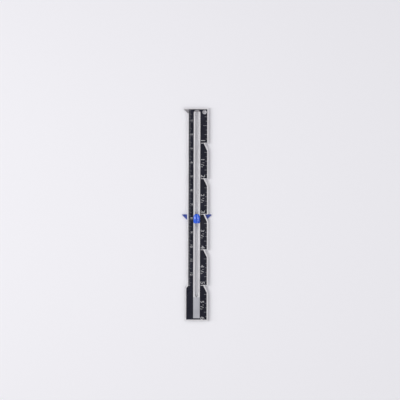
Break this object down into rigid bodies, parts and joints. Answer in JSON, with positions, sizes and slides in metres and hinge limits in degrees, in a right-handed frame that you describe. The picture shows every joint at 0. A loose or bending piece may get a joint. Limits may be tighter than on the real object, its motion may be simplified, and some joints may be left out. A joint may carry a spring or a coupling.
{
  "type": "sewing gauge",
  "caption": "Flat aluminium sewing gauge with inch and metric edges, stepped notches, a slot and a sliding plastic pointer with a thumb button.",
  "frame": {"origin": "on the slot's centre line, half way along the blade, on the pointer plate's flat back; the rest pose has the slider's reading edge on the 3 inch line, which is Y = 0", "axes": "+X to the inch edge, +Y to the zero end of both scales, +Z out of the printed face"},
  "size_m": [0.021, 0.1524, 0.0047],
  "materials": {
    "blade": "brushed, with bright broken edges",
    "enamel": "satin black printed enamel",
    "slider_plastic": "glossy moulded blue"
  },
  "bodies": {
    "ruler": {"blade": "blade", "enamel_coat": "enamel"},
    "slider": {"pointer_plate": "slider_plastic", "thumb_button": "slider_plastic"}
  },
  "joints": [
    {"name": "slider_slide", "type": "slide", "parent": "ruler", "child": "slider", "axis": [0, 1, 0], "range_m": [-0.053, 0.0732]}
  ]
}
